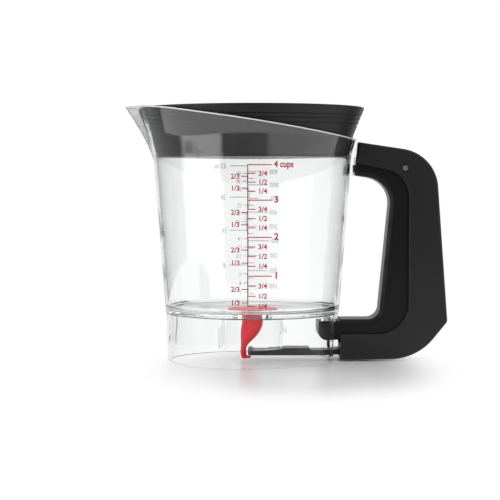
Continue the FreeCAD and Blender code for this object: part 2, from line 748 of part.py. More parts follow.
def make_stopper():
    """Silicone plug: a domed flange on the floor, a neck through the drain and a tail
    that bends toward the spout and hooks under the tip of the trip arm."""
    body = new_body("drain_stopper")
    seat = "floor_under_height + floor_thickness - floor_dish + stopper_gap"
    revolve(body, "flange", [
        ("0", seat),
        ("stopper_flange_radius - stopper_flange_round", seat),
        ("stopper_flange_radius", f"{seat} + stopper_flange_edge * 0.5"),
        ("stopper_flange_radius - stopper_flange_round", f"{seat} + stopper_flange_edge"),
        ("arc", "stopper_flange_radius * 0.55", f"{seat} + stopper_flange_crown * 0.85"),
        ("stopper_flange_radius * 0.15", f"{seat} + stopper_flange_crown"),
        ("0", f"{seat} + stopper_flange_crown"),
    ])
    tail = "arm_tip_reach - tail_gap - tail_radius"
    loft(body, "plug", [
        round_section(f"{seat} + stopper_flange_edge * 0.5", "0", "stopper_neck_radius"),
        round_section("floor_under_height - stopper_neck_drop", "0", "stopper_neck_radius"),
        round_section("plug_belly_height", "plug_belly_offset", "plug_belly_radius"),
        round_section("plug_waist_height", "plug_waist_offset", "plug_waist_radius"),
        round_section("plug_wrist_height", "plug_wrist_offset", "plug_wrist_radius"),
        round_section("arm_top + arm_lip + tail_head_room", tail, "tail_radius + tail_swell"),
        round_section("arm_low - tail_root", tail, "tail_radius"),
        round_section("tail_tip_height", f"{tail} + tail_tip_offset", "tail_radius * 0.62"),
    ])
    pad(body, "hook", "XZ_Plane", [
        (tail, "arm_low - hook_gap - hook_height"),
        (f"{tail} + hook_reach", "arm_low - hook_gap - hook_height", "hook_height * 0.45"),
        (f"{tail} + hook_reach", "arm_low - hook_gap", "hook_height * 0.45"),
        (tail, "arm_low - hook_gap"),
    ], "tail_radius * 1.1", middle=True)
    return body


# ---------------------------------------------------------------- handle

def bracket_face(height, gap="0"):
    """X of the leaning outer face of the cup's bracket at a height."""
    lean = "bracket_lean / (bracket_high - bracket_low)"
    return f"bracket_reach + {lean} * ({height} - bracket_low) + {gap}"


def hand_face(height):
    """X of the straight part of the hand opening at a height."""
    lean = "(hand_reach - hand_low_reach) / (hand_straight_high - hand_straight_low)"
    return f"hand_low_reach + {lean} * ({height} - hand_straight_low)"


def back_face(height):
    """X of the lever's back at a height."""
    lean = "(lever_back_reach - lever_shoulder_reach) / (lever_shoulder_height - lever_back_height)"
    return f"lever_shoulder_reach + {lean} * (lever_shoulder_height - {height})"


def side_edges(half_depth, chosen):
    """Pick the edges on both flat sides whose middle point chosen() accepts."""
    def pick(edge):
        spots = edge.discretize(3)
        flat = all(abs(abs(spot.y) - value(half_depth)) < NEAR for spot in spots)
        return flat and chosen(spots[1])
    return pick


def make_grip():
    """Fixed inner part of the handle: hooks into the cup's bracket, is screwed up into
    the boss under the floor, carries the pin and guides the lever."""
    body = new_body("grip_frame")
    outer = "seam_reach + grip_overlap"
    depth = "(lever_half_depth - lever_wall - grip_gap) * 2"
    pad(body, "frame", "XZ_Plane", [
        ("nub_reach", "nub_high"),
        ("nub_reach", "nub_low", "nub_round"),
        (outer, "nub_low", "seam_low_round"),
        (outer, "grip_top_height", "grip_top_round"),
        (bracket_face("grip_top_height"), "grip_top_height"),
        (bracket_face("hand_high_height"), "hand_high_height"),
        (hand_face("hand_corner_height"), "hand_corner_height", "hand_high_round"),
        (hand_face("arm_high"), "arm_high", "hand_low_round"),
        ("lever_low_reach", "arm_high"),
        ("lever_low_reach", "nub_high"),
    ], depth, middle=True)

    def by_the_hand(spot):
        return (value("arm_high") - NEAR < spot.z < value("hand_high_height") + NEAR
                and spot.x < value("hand_reach") + NEAR)
    round_edges(body, "grip_round", side_edges(f"{depth} / 2", by_the_hand), "grip_edge_round")
    pad(body, "tab", "XZ_Plane", box(
        "tab_reach", "bracket_reach + bracket_lean + run_in", "tab_low", "tab_high"),
        "tab_half_width * 2", middle=True)
    pad(body, "post_hollow", "XZ_Plane", [
        (f"{hand_face('hollow_low')} + grip_web", "hollow_low"),
        (f"{outer} + cut_past", "hollow_low"),
        (f"{outer} + cut_past", "hollow_high"),
        (f"{hand_face('hollow_high')} + grip_web", "hollow_high"),
    ], f"{depth} - grip_side_wall * 2", middle=True, cut=True)
    rib_side = f"({depth} / 2 - run_in)"
    rib = pad(body, "rib", "XY_Plane", box(
        "hand_reach + run_in", f"{outer} - grip_rib_inset", f"-{rib_side}", rib_side),
        "grip_rib", lift="grip_rib_first")
    ribs = body.newObject("PartDesign::LinearPattern", "ribs")
    ribs.Originals = [rib]
    ribs.Direction = (origin_plane(body, "Z_Axis"), [""])
    ribs.setExpression("Length", bound("grip_rib_pitch"))
    ribs.Occurrences = 2
    finish(body, ribs)
    pad(body, "spring_seat", "YZ_Plane", ("circle", "0", "spring_height", "spring_stub_radius"),
        "spring_stub_length + run_in", lift=f"{hand_face('spring_height')} + grip_web - run_in")
    pad(body, "pin_hole", "XZ_Plane", ("circle", "pivot_reach", "pivot_height", "pin_radius"),
        "lever_half_depth * 4", middle=True, cut=True)
    for side in (-1, 1):
        spot = ("screw_reach", f"{side} * screw_offset")
        pad(body, f"head_pocket_{side + 2}", "XY_Plane",
            ("circle", *spot, "screw_head_radius + screw_head_gap"),
            "screw_pocket_depth + cut_past", lift="nub_low - cut_past", cut=True, back=True)
        pad(body, f"shank_hole_{side + 2}", "XY_Plane", ("circle", *spot, "screw_radius + screw_hole_gap"),
            "nub_high - nub_low", lift="nub_low + cut_past", cut=True, back=True)
    return body


def make_lever():
    """Outer part of the handle: a channel, open toward the hand, that wraps the frame
    and turns on the pin when the hand squeezes it."""
    body = new_body("squeeze_lever")
    top_end = bracket_face("lever_top_height", "lever_end_gap")
    seam_end = bracket_face("seam_high_height", "lever_end_gap")
    pad(body, "shell", "XZ_Plane", [
        ("lever_low_reach", "lever_foot"),
        ("lever_heel_reach", "lever_foot", "lever_heel_round"),
        ("lever_back_reach", "lever_back_height", "lever_corner_round"),
        (back_face("lever_crown_height"), "lever_crown_height", "lever_crown_round"),
        (top_end, "lever_top_height"),
        (seam_end, "seam_high_height"),
        ("seam_reach", "seam_corner_height", "seam_high_round"),
        ("seam_reach", "seam_low_height", "seam_low_round"),
        ("lever_low_reach", "seam_low_height"),
    ], "lever_half_depth * 2", middle=True)

    def outside(spot):
        return (spot.z < value("lever_foot") + NEAR or spot.x > value("seam_reach + run_in")
                or spot.z > value("seam_high_height + lever_top_height") / 2)

    def seam(spot):
        low = value("seam_low_height") - NEAR < spot.z < value("seam_high_height") + NEAR
        return low and value("lever_low_reach") + NEAR < spot.x < value("seam_reach") + NEAR
    round_edges(body, "outer_round", side_edges("lever_half_depth", outside), "lever_edge_round")
    round_edges(body, "seam_round", side_edges("lever_half_depth", seam), "seam_edge_round")
    crown = back_face("lever_crown_height")
    pad(body, "channel", "XZ_Plane", [
        ("lever_low_reach + lever_end_wall", "lever_floor"),
        ("lever_heel_reach - lever_back_wall * 0.5", "lever_floor", "lever_heel_round - lever_back_wall"),
        ("lever_back_reach - lever_back_wall", "lever_back_height + lever_back_wall * 0.3"),
        (f"{crown} - lever_back_wall * 0.94", "lever_crown_height - lever_back_wall * 0.9",
         "lever_crown_round - lever_back_wall"),
        (f"{top_end} + lever_end_wall", "lever_top_height - lever_back_wall * 1.1"),
        (f"{top_end} + lever_end_wall", "grip_top_height + channel_room"),
        (f"{seam_end} - channel_mouth", "grip_top_height + channel_room"),
        (f"{seam_end} - channel_mouth", "hand_high_height - channel_mouth"),
        ("hand_low_reach", "hand_straight_high"),
        ("hand_low_reach", "hand_straight_low"),
        ("lever_low_reach - channel_mouth", "seam_low_height + channel_past_seam"),
        ("lever_low_reach - channel_mouth", "lever_end_wall_height"),
        ("lever_low_reach + lever_end_wall", "lever_end_wall_height"),
    ], "(lever_half_depth - lever_wall) * 2", middle=True, cut=True)
    pad(body, "arm_slot", "XZ_Plane", box(
        "lever_low_reach - cut_past", "lever_low_reach + lever_end_wall + run_in",
        "arm_low - arm_slot_gap", "arm_top + arm_slot_gap"),
        "(arm_half_width + arm_slot_gap) * 2", middle=True, cut=True)
    back = f"{back_face('spring_height')} - lever_back_wall"
    pad(body, "spring_seat", "YZ_Plane", ("circle", "0", "spring_height", "spring_stub_radius"),
        "spring_stub_length + run_in", lift=f"{back} + run_in", back=True)
    pad(body, "pin_hole", "XZ_Plane",
        ("circle", "pivot_reach", "pivot_height", "pin_radius + pin_running_gap"),
        "lever_half_depth * 4", middle=True, cut=True)
    for number in range(2):
        spot = (f"arm_screw_first + {number} * arm_screw_pitch", "0")
        pad(body, f"arm_screw_hole_{number + 1}", "XY_Plane",
            ("circle", *spot, "screw_radius + screw_hole_gap"),
            "lever_floor_wall + cut_past * 2", lift="lever_foot - cut_past", cut=True, back=True)
        pad(body, f"arm_screw_sink_{number + 1}", "XY_Plane",
            ("circle", *spot, "screw_head_radius + screw_head_gap"),
            "arm_screw_sink + cut_past", lift="lever_foot - cut_past", cut=True, back=True)
    return body


def make_trip_arm():
    """Flat arm screwed into the lever's foot: it runs through the skirt's gate and its
    lipped tip rests against the stopper's tail."""
    body = new_body("trip_arm")
    root = "lever_low_reach + lever_end_wall + arm_edge"
    step = "arm_top + arm_step_rise"
    lip = "arm_top + arm_lip"
    pad(body, "blade", "XZ_Plane", [
        ("arm_tip_reach", "arm_low + arm_edge * 0.5"),
        ("arm_tip_reach + arm_lip_slope", "arm_low"),
        (root, "arm_low"),
        (f"{root} + arm_edge", "lever_floor"),
        ("arm_root_reach", "lever_floor"),
        ("arm_root_reach", "arm_top"),
        ("arm_raised_end + arm_edge", "arm_top"),
        ("arm_raised_end", "arm_raised_height - arm_edge"),
        ("arm_raised_end - arm_edge", "arm_raised_height"),
        ("arm_ramp_end", "arm_raised_height"),
        ("arm_ramp_start", step),
        ("arm_step_start", step),
        ("arm_step_start - arm_edge", "arm_top"),
        ("arm_tip_reach + arm_lip_length + arm_lip_slope", "arm_top"),
        ("arm_tip_reach + arm_lip_length", lip),
        ("arm_tip_reach + arm_edge", lip),
        ("arm_tip_reach", f"{lip} - arm_edge"),
    ], "arm_half_width * 2", middle=True)

    def tip_corner(edge):
        spot = edge.discretize(3)[1]
        upright = abs(edge.tangentAt(edge.FirstParameter).z) > 0.99
        return upright and spot.x < value("arm_tip_reach") + NEAR
    round_edges(body, "tip_round", tip_corner, "arm_tip_round")
    for number in range(2):
        spot = (f"arm_screw_first + {number} * arm_screw_pitch", "0")
        pad(body, f"screw_hole_{number + 1}", "XY_Plane", ("circle", *spot, "screw_radius"),
            "arm_screw_bury + screw_head_gap", lift="lever_floor", cut=True, back=True)
    return body


def make_pin():
    body = new_body("pivot_pin")
    pad(body, "shank", "XZ_Plane", ("circle", "pivot_reach", "pivot_height", "pin_radius"),
        "(lever_half_depth - pin_recess) * 2", middle=True)
    round_edges(body, "ends", lambda edge: len(edge.Vertexes) == 1, "pin_end_chamfer", chamfer=True)
    return body


# ---------------------------------------------------------------- fasteners and spring

def bind(thing, **texts):
    for field, text in texts.items():
        thing.setExpression(field.replace("_", "."), bound(text))


def cylinder(name, radius, height, x, y, z):
    thing = doc.addObject("Part::Cylinder", name)
    bind(thing, Radius=radius, Height=height)
    bind(thing, Placement_Base_x=x, Placement_Base_y=y, Placement_Base_z=z)
    return thing


def screw(name, x, y, seat, reach):
    """Pan-head screw driven upward: the head hangs below its seat."""
    under = f"{seat} - screw_head_height"
    head = cylinder(name + "_head", "screw_head_radius", "screw_head_height", x, y, under)
    shank = cylinder(name + "_shank", "screw_radius", f"{reach} + screw_head_gap",
                     x, y, f"{seat} - screw_head_gap")
    socket = cylinder(name + "_socket", "socket_radius", "socket_depth + cut_past",
                      x, y, f"{under} - cut_past")
    whole = doc.addObject("Part::Fuse", name + "_blank")
    whole.Base, whole.Tool = head, shank
    driven = doc.addObject("Part::Cut", name)
    driven.Base, driven.Tool = whole, socket
    return driven


def group(name, things):
    together = doc.addObject("Part::Compound", name)
    together.Label = name
    together.Links = things
    return together


def make_screws():
    seat = "nub_low + screw_pocket_depth"
    handle = [screw(f"handle_screw_{side + 2}", "screw_reach", f"{side} * screw_offset", seat,
                    "nub_high - nub_low - screw_pocket_depth + nub_gap + screw_bury") for side in (-1, 1)]
    foot = "lever_foot + arm_screw_sink"
    arm = [screw(f"arm_screw_{number + 1}", f"arm_screw_first + {number} * arm_screw_pitch", "0", foot,
                 "lever_floor_wall - arm_screw_sink + arm_screw_bury") for number in range(2)]
    return group("handle_screws", handle), group("arm_screws", arm)


def make_spring():
    """Compression spring along X between the frame's web and the lever's back wall: half
    turns that lean one way on +Y and, mirrored, the other way on -Y."""
    start = f"({hand_face('spring_height')} + grip_web + spring_seat_gap + spring_wire)"
    end = f"({back_face('spring_height')} - lever_back_wall - spring_seat_gap - spring_wire)"
    advance = f"(({end} - {start}) / spring_half_turns)"
    lean = f"(90 deg + atan({advance} / 2 / spring_radius))"
    halves = []
    for number in range(int(value("spring_half_turns"))):
        half = doc.addObject("Part::Torus", f"half_turn_{number + 1}")
        half.Angle3 = 180
        half.Placement.Rotation = FreeCAD.Rotation(V(0, 1, 0), 90)
        bind(half, Radius1=f"hypot(spring_radius; {advance} / 2)", Radius2="spring_wire",
             Placement_Base_x=f"{start} + ({number} + 0.5) * {advance}", Placement_Base_z="spring_height",
             Placement_Rotation_Angle=lean if number % 2 else f"-{lean}")
        if number % 2:
            mirrored = doc.addObject("Part::Mirroring", f"half_turn_{number + 1}_mirrored")
            mirrored.Source = half
            mirrored.Normal = V(0, 1, 0)
            half = mirrored
        halves.append(half)
    coil = doc.addObject("Part::MultiFuse", "return_spring")
    coil.Label = "return_spring"
    coil.Shapes = halves
    doc.recompute()
    return coil


# ---------------------------------------------------------------- assembly

handle_screws, arm_screws = make_screws()
PARTS = [
    make_cup(), make_skirt(), make_strainer(), make_stopper(), make_grip(), make_lever(),
    make_trip_arm(), make_pin(), handle_screws, arm_screws, make_spring(),
]

doc.recompute()
for thing in doc.Objects:
    if "Invalid" in thing.State or "Error" in thing.State:
        raise RuntimeError(f"{thing.Name}: {thing.State}")
os.makedirs("parts", exist_ok=True)
for piece in PARTS:
    shape = piece.Shape
    if shape.isNull() or not shape.isValid():
        raise RuntimeError(f"{piece.Label} has no valid shape")
    print(piece.Label, len(shape.Solids), round(shape.Volume), len(shape.Faces))
    shape.exportStep(f"parts/{piece.Label}.step")
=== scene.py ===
"""Finishes, printed scales and studio for the gravy fat separator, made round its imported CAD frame."""

import json
import math

import bpy
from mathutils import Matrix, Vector

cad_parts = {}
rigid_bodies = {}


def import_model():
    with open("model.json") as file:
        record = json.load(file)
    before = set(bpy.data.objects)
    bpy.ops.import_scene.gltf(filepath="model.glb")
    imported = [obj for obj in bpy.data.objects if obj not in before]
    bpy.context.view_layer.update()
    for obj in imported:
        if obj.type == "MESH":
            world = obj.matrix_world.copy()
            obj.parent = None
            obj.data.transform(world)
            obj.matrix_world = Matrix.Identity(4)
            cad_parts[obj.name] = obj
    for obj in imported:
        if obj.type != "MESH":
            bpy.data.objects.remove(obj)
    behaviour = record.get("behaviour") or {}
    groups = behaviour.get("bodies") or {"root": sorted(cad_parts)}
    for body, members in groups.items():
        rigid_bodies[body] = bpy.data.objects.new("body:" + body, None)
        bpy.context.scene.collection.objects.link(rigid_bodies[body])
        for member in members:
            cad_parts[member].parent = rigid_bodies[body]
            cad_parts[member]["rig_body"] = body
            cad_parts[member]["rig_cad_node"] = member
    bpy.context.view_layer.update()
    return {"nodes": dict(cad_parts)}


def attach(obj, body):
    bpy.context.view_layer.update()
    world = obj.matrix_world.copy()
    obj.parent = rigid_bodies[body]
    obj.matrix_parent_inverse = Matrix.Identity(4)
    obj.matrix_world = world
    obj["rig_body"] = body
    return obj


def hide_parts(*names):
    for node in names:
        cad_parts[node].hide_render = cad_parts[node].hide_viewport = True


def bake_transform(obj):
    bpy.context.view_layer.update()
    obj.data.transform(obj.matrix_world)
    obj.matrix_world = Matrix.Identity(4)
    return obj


bl_info = {
    "name": "Gravy Fat Separator Finishes",
    "version": (1, 0, 0),
    "blender": (4, 5, 0),
    "location": "View3D > Sidebar > Separator",
    "description": "Dresses the separator's frame with clear, black and red plastics, scales and a studio",
    "category": "Object",
}

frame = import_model()
MM = 0.001


# ---------------------------------------------------------------- shader maths

class Socket:
    """A shader value that sums, scales and compares as a number does; a comparison gives 0 or 1."""

    def __init__(self, tree, socket):
        self.tree = tree
        self.socket = socket

    def combine(self, operation, other, swapped=False):
        """A Math node on this value and another."""
        node = self.tree.nodes.new("ShaderNodeMath")
        node.operation = operation
        pair = (other, self) if swapped else (self, other)
        for number, side in enumerate(pair):
            plug(self.tree, node.inputs[number], side)
        return Socket(self.tree, node.outputs[0])

    def __add__(self, other):
        return self.combine("ADD", other)

    __radd__ = __add__

    def __sub__(self, other):
        return self.combine("SUBTRACT", other)

    def __rsub__(self, other):
        return self.combine("SUBTRACT", other, True)

    def __mul__(self, other):
        return self.combine("MULTIPLY", other)

    __rmul__ = __mul__

    def __truediv__(self, other):
        return self.combine("DIVIDE", other)

    def __gt__(self, other):
        return self.combine("GREATER_THAN", other)

    def __pow__(self, other):
        return self.combine("POWER", other)


def plug(tree, target, value):
    """Link a socket to an input, or set the input to a value."""
    if isinstance(value, Socket):
        tree.links.new(value.socket, target)
    elif isinstance(value, bpy.types.NodeSocket):
        tree.links.new(value, target)
    else:
        target.default_value = value


class Nodes:
    """A node tree, and the one method that adds nodes to it."""

    def __init__(self, tree):
        self.tree = tree

    def node(self, kind, choices=None, out=0, **inputs):
        """Add a node; an input goes by its socket's name, or by an underscore and its number."""
        made = self.tree.nodes.new(kind)
        for key, value in (choices or {}).items():
            if key == "stops":
                set_stops(made.color_ramp.elements, value)
            else:
                setattr(made, key, value)
        for key, value in inputs.items():
            number = key[1:]
            socket = int(number) if number.isdigit() else key.replace("_", " ")
            plug(self.tree, made.inputs[socket], value)
        return Socket(self.tree, made.outputs[out])

    def mix(self, factor, first, second, blend="MIX"):
        return self.node("ShaderNodeMix", {"data_type": "RGBA", "blend_type": blend}, out=2,
                         _0=factor, _6=first, _7=second)


def set_stops(elements, stops):
    while len(elements) < len(stops):
        elements.new(0.5)
    for element, (place, colour) in zip(elements, stops):
        element.position = place
        element.color = colour


class Finish(Nodes):
    """One material: its tree, its shader and its patterns on Object coordinates."""

    def __init__(self, name):
        self.material = bpy.data.materials.new(name)
        self.material.use_nodes = True
        super().__init__(self.material.node_tree)
        self.shader = self.tree.nodes["Principled BSDF"]
        self.output = self.tree.nodes["Material Output"]

    def place(self, scale=(1, 1, 1), middle=(0, 0, 0)):
        """Object coordinates from a middle point, stretched."""
        where = self.node("ShaderNodeTexCoord", out=3)
        shift = tuple(-far * share for far, share in zip(middle, scale))
        return self.node("ShaderNodeMapping", Vector=where, Scale=scale, Location=shift)

    def noise(self, scale, detail=2.0, stretch=(1, 1, 1)):
        return self.node("ShaderNodeTexNoise", Vector=self.place(stretch), Scale=scale, Detail=detail)

    def bump(self, height, strength, distance):
        return self.node("ShaderNodeBump", Height=height, Strength=strength, Distance=distance)

    def set(self, **values):
        for key, value in values.items():
            plug(self.tree, self.shader.inputs[key.replace("_", " ")], value)

    def let_lamps_through(self, tint):
        """Rays from lamps pass as through a clear wall, so what lies behind is lit."""
        clear = self.node("ShaderNodeBsdfTransparent", Color=tint)
        path = self.node("ShaderNodeLightPath", out=1)
        mixed = self.node("ShaderNodeMixShader", _0=path, _1=self.shader.outputs[0], _2=clear)
        self.tree.links.new(mixed.socket, self.output.inputs[0])


def rgba(colour):
    return (*colour[:3], 1.0)


def grey(level):
    return (level, level, level, 1.0)


def clear_plastic(name, index):
    """Clear polished plastic, with painted shade that greys its tint where the wall is seen edge-on."""
    finish = Finish(name)
    ripple = finish.noise(38.0, detail=1.0)
    smear = finish.noise(9.0, detail=3.0, stretch=(1, 1, 0.3))
    edge = finish.node("ShaderNodeLayerWeight", out=1, Blend=0.32)
    clear = finish.mix(smear, rgba(settings().clear_colour), grey(0.985))
    # Painted shade: the tint goes grey where the wall is seen edge-on, standing in for the dark
    # surroundings that such edges bend into view.
    finish.set(Base_Color=finish.mix(edge ** 2.2, clear, grey(0.42)),
               Roughness=0.012 + smear * 0.03,
               IOR=index,
               Transmission_Weight=1.0,
               Normal=finish.bump(ripple, 0.06, 0.0006))
    finish.let_lamps_through(grey(0.975))
    return finish.material


def bright_edge():
    """Clear plastic where the wall ends, with a painted highlight standing in for the light that the wall
    carries to it.
    """
    finish = Finish("bright_edge")
    uneven = finish.noise(60.0, detail=2.0)
    # Painted highlight: pale greys in place of the clear wall's own colour.
    finish.set(Base_Color=finish.mix(uneven, grey(0.86), grey(0.97)),
               Roughness=0.2 + uneven * 0.1,
               IOR=1.57,
               Transmission_Weight=0.25)
    return finish.material


def black_plastic(name, colour, roughness, grain, gloss):
    """Black plastic with a fine moulded grain."""
    finish = Finish(name)
    speck = finish.noise(grain, detail=2.0)
    cloud = finish.noise(16.0, detail=4.0)
    worn = tuple(channel * 0.82 for channel in colour)
    finish.set(Base_Color=finish.mix(cloud, rgba(worn), rgba(colour)),
               Roughness=roughness + cloud * 0.08 + speck * 0.05,
               IOR=1.49,
               Specular_IOR_Level=gloss,
               Normal=finish.bump(speck, 0.22, 0.00012))
    return finish.material


def red_silicone():
    """Soft satin silicone."""
    finish = Finish("soft_red")
    cloud = finish.noise(60.0, detail=3.0)
    finish.set(Base_Color=finish.mix(cloud, rgba(settings().red_colour), rgba((0.95, 0.03, 0.05))),
               Roughness=0.34 + cloud * 0.12,
               IOR=1.41,
               Specular_IOR_Level=0.22,
               Subsurface_Weight=0.12,
               Subsurface_Scale=0.004,
               Normal=finish.bump(finish.noise(900.0), 0.15, 0.0001))
    return finish.material


def steel(name, colour, roughness):
    """Steel with fine turning marks."""
    finish = Finish(name)
    turned = finish.noise(240.0, detail=3.0, stretch=(1, 1, 6))
    finish.set(Base_Color=finish.mix(turned, rgba(colour), grey(0.78)),
               Metallic=1.0,
               Roughness=roughness + turned * 0.14,
               Normal=finish.bump(turned, 0.2, 0.0001))
    return finish.material


def ink(name, colour):
    """Printed ink, a little worn."""
    finish = Finish(name)
    worn = finish.noise(420.0, detail=3.0)
    thin = tuple(min(1.0, channel * 1.12 + 0.02) for channel in colour)
    finish.set(Base_Color=finish.mix(worn, rgba(colour), rgba(thin)), Roughness=0.42 + worn * 0.1)
    return finish.material


# ---------------------------------------------------------------- modelling helpers

WELD = 2e-6
# The turn, in degrees, past which an edge stays sharp.
CREASE = 28
HARD_CREASE = 32
SOFT_CREASE = 40
ROUND_CREASE = 60
SOFT_EDGE = 0.3 * MM
SOFT_EDGE_TURN = 50


def drop_selection():
    if bpy.context.object and bpy.context.object.mode != "OBJECT":
        bpy.ops.object.mode_set(mode="OBJECT")
    bpy.ops.object.select_all(action="DESELECT")


def make_active(thing):
    drop_selection()
    thing.select_set(True)
    bpy.context.view_layer.objects.active = thing


def in_edit_mode(thing, *steps):
    """Run each step on the whole mesh in edit mode."""
    make_active(thing)
    bpy.ops.object.mode_set(mode="EDIT")
    bpy.ops.mesh.select_all(action="SELECT")
    for step in steps:
        step()
    bpy.ops.object.mode_set(mode="OBJECT")


def wear(thing, material):
    """Give a piece one material all over."""
    thing.data.materials.clear()
    thing.data.materials.append(material)
    for face in thing.data.polygons:
        face.material_index = 0


def smooth(thing, angle):
    """Shade smooth up to an angle, with each face counting by its area."""
    make_active(thing)
    if thing.data.has_custom_normals:
        bpy.ops.mesh.customdata_custom_splitnormals_clear()
    bpy.ops.object.shade_smooth_by_angle(angle=math.radians(angle))
    weigh = thing.modifiers.new("weigh", "WEIGHTED_NORMAL")
    weigh.mode = "FACE_AREA"
    weigh.keep_sharp = True
    bpy.ops.object.modifier_apply(modifier="weigh")


def soften_edges(thing):
    """Break the sharp edges as a mould does, so that they catch the light."""
    bevel = thing.modifiers.new("soften", "BEVEL")
    bevel.width = SOFT_EDGE
    bevel.segments = 2
    bevel.limit_method = "ANGLE"
    bevel.angle_limit = math.radians(SOFT_EDGE_TURN)
    make_active(thing)
    bpy.ops.object.modifier_apply(modifier="soften")
    smooth(thing, HARD_CREASE)


def dress(node, name, body, material, angle):
    """A smooth copy of a CAD node, welded at its doubles, that stands for it and rides on a body."""
    make_active(frame["nodes"][node])
    bpy.ops.object.duplicate()
    copy = bpy.context.object
    copy.name = name
    copy.data.name = name
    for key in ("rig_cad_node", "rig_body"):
        if key in copy:
            del copy[key]
    copy.parent = None
    in_edit_mode(copy, lambda: bpy.ops.mesh.remove_doubles(threshold=WELD))
    smooth(copy, angle)
    wear(copy, material)
    if body:
        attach(copy, body)
    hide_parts(node)
    return copy


# ---------------------------------------------------------------- sizes and colours

class SeparatorSettings(bpy.types.PropertyGroup):
    clear_colour: bpy.props.FloatVectorProperty(
        name="Clear plastic", description="Tint of the cup and the skirt", subtype="COLOR",
        default=(0.965, 0.975, 0.975), min=0, max=1)
    clear_index: bpy.props.FloatProperty(
        name="Cup index", description="Refractive index of the cup", default=1.57)
    floor_index: bpy.props.FloatProperty(
        name="Floor index", description="Refractive index of the cup's thick floor", default=1.27)
    skirt_index: bpy.props.FloatProperty(
        name="Skirt index", description="Refractive index of the thin skirt", default=1.22)
    black_colour: bpy.props.FloatVectorProperty(
        name="Strainer black", description="Colour of the strainer and the trip arm", subtype="COLOR",
        default=(0.013, 0.013, 0.014), min=0, max=1)
    handle_colour: bpy.props.FloatVectorProperty(
        name="Handle black", description="Colour of the squeeze lever", subtype="COLOR",
        default=(0.012, 0.012, 0.013), min=0, max=1)
    grip_colour: bpy.props.FloatVectorProperty(
        name="Grip black", description="Colour of the fixed inner grip", subtype="COLOR",
        default=(0.006, 0.006, 0.0065), min=0, max=1)
    red_colour: bpy.props.FloatVectorProperty(
        name="Silicone red", description="Colour of the stopper", subtype="COLOR",
        default=(0.90, 0.012, 0.03), min=0, max=1)
    ink_colour: bpy.props.FloatVectorProperty(
        name="Front ink", description="Colour of the cup scale", subtype="COLOR",
        default=(0.34, 0.012, 0.03), min=0, max=1)
    pale_ink_colour: bpy.props.FloatVectorProperty(
        name="Rear ink", description="Colour of the ounce and millilitre scale", subtype="COLOR",
        default=(0.70, 0.70, 0.70), min=0, max=1)
    scale_zero: bpy.props.FloatProperty(
        name="Scale zero", description="Height of the empty mark", default=31.1 * MM, unit="LENGTH")
    scale_first: bpy.props.FloatProperty(
        name="First cup", description="Rise of the scale over its first cup", default=24.4 * MM,
        unit="LENGTH")
    scale_shrink: bpy.props.FloatProperty(
        name="Scale shrink", description="Loss of rise as the cup widens", default=0.55 * MM, unit="LENGTH")
    camera_distance: bpy.props.FloatProperty(
        name="Camera distance", description="From the lens to the cup's axis", default=0.935, unit="LENGTH")
    camera_height: bpy.props.FloatProperty(
        name="Camera height", description="Of the lens over the table", default=0.1131, unit="LENGTH")
    aim_height: bpy.props.FloatProperty(
        name="Aim height", description="Of the picture's middle at the cup's axis", default=0.06757,
        unit="LENGTH")
    view_width: bpy.props.FloatProperty(
        name="View width", description="Width of the picture at the cup's axis", default=0.3094,
        unit="LENGTH")


def settings():
    return bpy.context.scene.separator


# ---------------------------------------------------------------- pieces

# The rim's line from the handle to the spout: stations along X and heights.
RIM_LINE = tuple((across * MM, level * MM) for across, level in (
    (74, 134.2), (58.6, 136.6), (39.4, 139.9), (15.8, 143.8), (-7.2, 147.4), (-30.4, 150.8), (-54.5, 154.4),
    (-66, 155.5), (-90, 156.3)))
RIM_STEPS = 160
# The block that trims the rim.
CUTTER_LENGTH = 177.6 * MM
CUTTER_HALF_WIDTH = 111 * MM
CUTTER_TOP = 312.6 * MM
# The bead on the rim: its share sunk in the wall, and its turn from the handle where it starts.
BEAD_RADIUS = 0.42 * MM
BEAD_SINK = 0.85
BEAD_START = math.radians(9.5)
BEAD_STEPS = 260
BEAD_ROUNDS = 4
RIM_RADIUS = 65 * MM
OUTSIDE = 120 * MM
# The two ledges away from the handle.
LEDGE_TURNS = (math.radians(120), math.radians(-120))
LEDGE_SPAN = (119.5 * MM, 125.2 * MM)
LEDGE_HALF_WIDTH = 4.3 * MM
LEDGE_DEPTH = 0.15 * MM
LEDGE_CUTS = 6
LEDGE_WELD = 1e-5
# The floor: its level faces lie below this height; its corner's round runs between two points.
FLOOR_ZONE = 36 * MM
FLAT_ENOUGH = 0.5
FLOOR_CORNER = ((55 * MM, 31.95 * MM), (61 * MM, 35 * MM))
CORNER_SHARE = 0.35


def rim_height(across):
    """Height of the rim at a station, by a smooth curve through its line."""
    pairs = list(zip(RIM_LINE, RIM_LINE[1:]))
    slopes = [(low - high) / (start - end) for (start, low), (end, high) in pairs]
    leans = [slopes[0]] + [(before + after) / 2 for before, after in zip(slopes, slopes[1:])] + [slopes[-1]]
    passed = sum(1 for station, _ in RIM_LINE if station > across)
    near = min(max(passed - 1, 0), len(pairs) - 1)
    (start, low), (end, high) = pairs[near]
    span = end - start
    share = (across - start) / span
    reached = 3 * share ** 2 - 2 * share ** 3
    first_bend = (share ** 3 - 2 * share ** 2 + share) * span * leans[near]
    last_bend = (share ** 3 - share ** 2) * span * leans[near + 1]
    return low + (high - low) * reached + first_bend + last_bend


